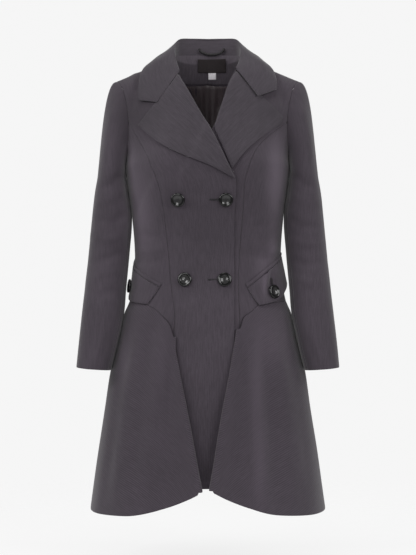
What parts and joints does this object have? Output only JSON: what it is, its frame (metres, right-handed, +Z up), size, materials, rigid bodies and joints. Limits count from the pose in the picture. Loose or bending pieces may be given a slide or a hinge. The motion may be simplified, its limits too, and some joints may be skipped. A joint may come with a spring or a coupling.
{
  "type": "skater coat",
  "caption": "Double-breasted wool-blend skater coat with notched lapels, fitted body, flared skirt with rolled fold edges and flapped pockets, filled out as if worn.",
  "frame": {"origin": "the middle between the two shoulders, at the height of the shoulder line's middle, inside the neck opening", "axes": "+X to the wearer's left, +Y to the wearer's back, +Z up"},
  "size_m": [0.548, 0.401, 0.9953],
  "materials": {
    "wool": "matte brushed wool blend with a fine rib",
    "satin": "soft satin lining",
    "black_trim": "woven label and braided loop, matte",
    "white_trim": "printed-tape white, left bare",
    "button": "polished black"
  },
  "bodies": {
    "root": {"front_overlap": "wool", "front_underlap": "wool", "side_front_right": "wool", "side_front_left": "wool", "back_centre": "wool", "side_back_right": "wool", "side_back_left": "wool", "skirt_front_right": "wool", "skirt_front_left": "wool", "skirt_back_right": "wool", "skirt_back_left": "wool", "lapel_right": "wool", "lapel_left": "wool", "collar": "wool", "neck_facing": "wool", "back_lining": "satin", "neck_label": "black_trim", "size_tag": "white_trim", "hanging_loop": "black_trim", "pocket_flap_right": "wool", "pocket_flap_left": "wool", "pocket_welt_right": "wool", "pocket_welt_left": "wool", "button_upper_outer": "button", "button_upper_edge": "button", "button_lower_outer": "button", "button_lower_edge": "button", "flap_button_right": "button", "flap_button_left": "button", "sleeve_top_right": "wool", "sleeve_top_left": "wool", "sleeve_under_right": "wool", "sleeve_under_left": "wool"}
  },
  "joints": []
}
